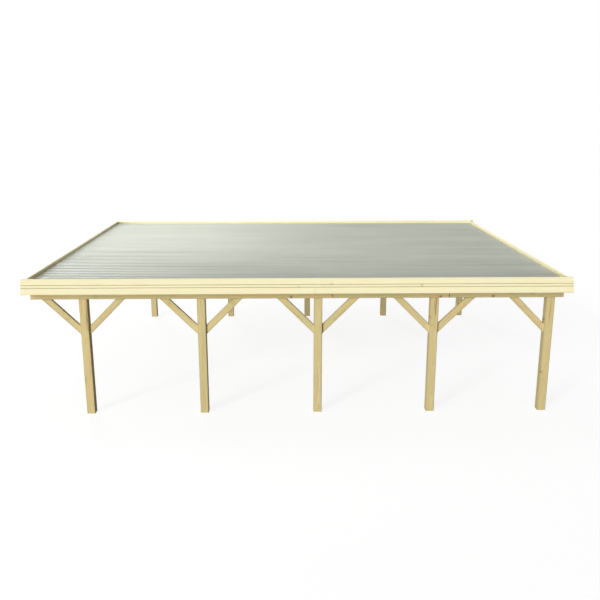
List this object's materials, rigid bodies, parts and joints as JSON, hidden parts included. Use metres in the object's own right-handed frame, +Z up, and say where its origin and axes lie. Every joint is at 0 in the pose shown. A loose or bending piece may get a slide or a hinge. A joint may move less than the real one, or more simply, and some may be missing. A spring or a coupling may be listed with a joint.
{
  "type": "carport",
  "caption": "Open flat-roofed timber carport: square posts with knee braces, beams, rafters, a raked grooved fascia and a profiled sheet roof, for parking cars under cover.",
  "frame": {"origin": "centre of the bounding box on the floor", "axes": "+X along the post rows to the right in the picture, +Y from the front row to the rear row, +Z up"},
  "size_m": [9.0709, 6.7616, 2.4208],
  "materials": {
    "frame_pine": "sawn and planed, pressure treated",
    "fascia_pine": "planed, pressure treated",
    "roof_sheet": "satin coated"
  },
  "bodies": {
    "root": {"front_post_1": "frame_pine", "front_post_2": "frame_pine", "front_post_3": "frame_pine", "front_post_4": "frame_pine", "front_post_5": "frame_pine", "rear_post_1": "frame_pine", "rear_post_2": "frame_pine", "rear_post_3": "frame_pine", "rear_post_4": "frame_pine", "rear_post_5": "frame_pine", "front_beam_1": "frame_pine", "front_beam_2": "frame_pine", "front_beam_3": "frame_pine", "rear_beam_1": "frame_pine", "rear_beam_2": "frame_pine", "rear_beam_3": "frame_pine", "front_braces_1": "frame_pine", "front_braces_2": "frame_pine", "front_braces_3": "frame_pine", "front_braces_4": "frame_pine", "front_braces_5": "frame_pine", "rear_braces_1": "frame_pine", "rear_braces_2": "frame_pine", "rear_braces_3": "frame_pine", "rear_braces_4": "frame_pine", "rear_braces_5": "frame_pine", "rafter_1": "frame_pine", "rafter_2": "frame_pine", "rafter_3": "frame_pine", "rafter_4": "frame_pine", "rafter_5": "frame_pine", "rafter_6": "frame_pine", "rafter_7": "frame_pine", "rafter_8": "frame_pine", "rafter_9": "frame_pine", "rafter_10": "frame_pine", "rafter_11": "frame_pine", "rafter_12": "frame_pine", "rafter_13": "frame_pine", "rafter_14": "frame_pine", "rafter_15": "frame_pine", "left_cleats": "frame_pine", "right_cleats": "frame_pine", "front_fascia": "fascia_pine", "rear_fascia": "fascia_pine", "left_fascia": "fascia_pine", "right_fascia": "fascia_pine", "roof_sheet_1": "roof_sheet", "roof_sheet_2": "roof_sheet", "roof_sheet_3": "roof_sheet", "roof_sheet_4": "roof_sheet", "roof_sheet_5": "roof_sheet", "roof_sheet_6": "roof_sheet"}
  },
  "joints": []
}
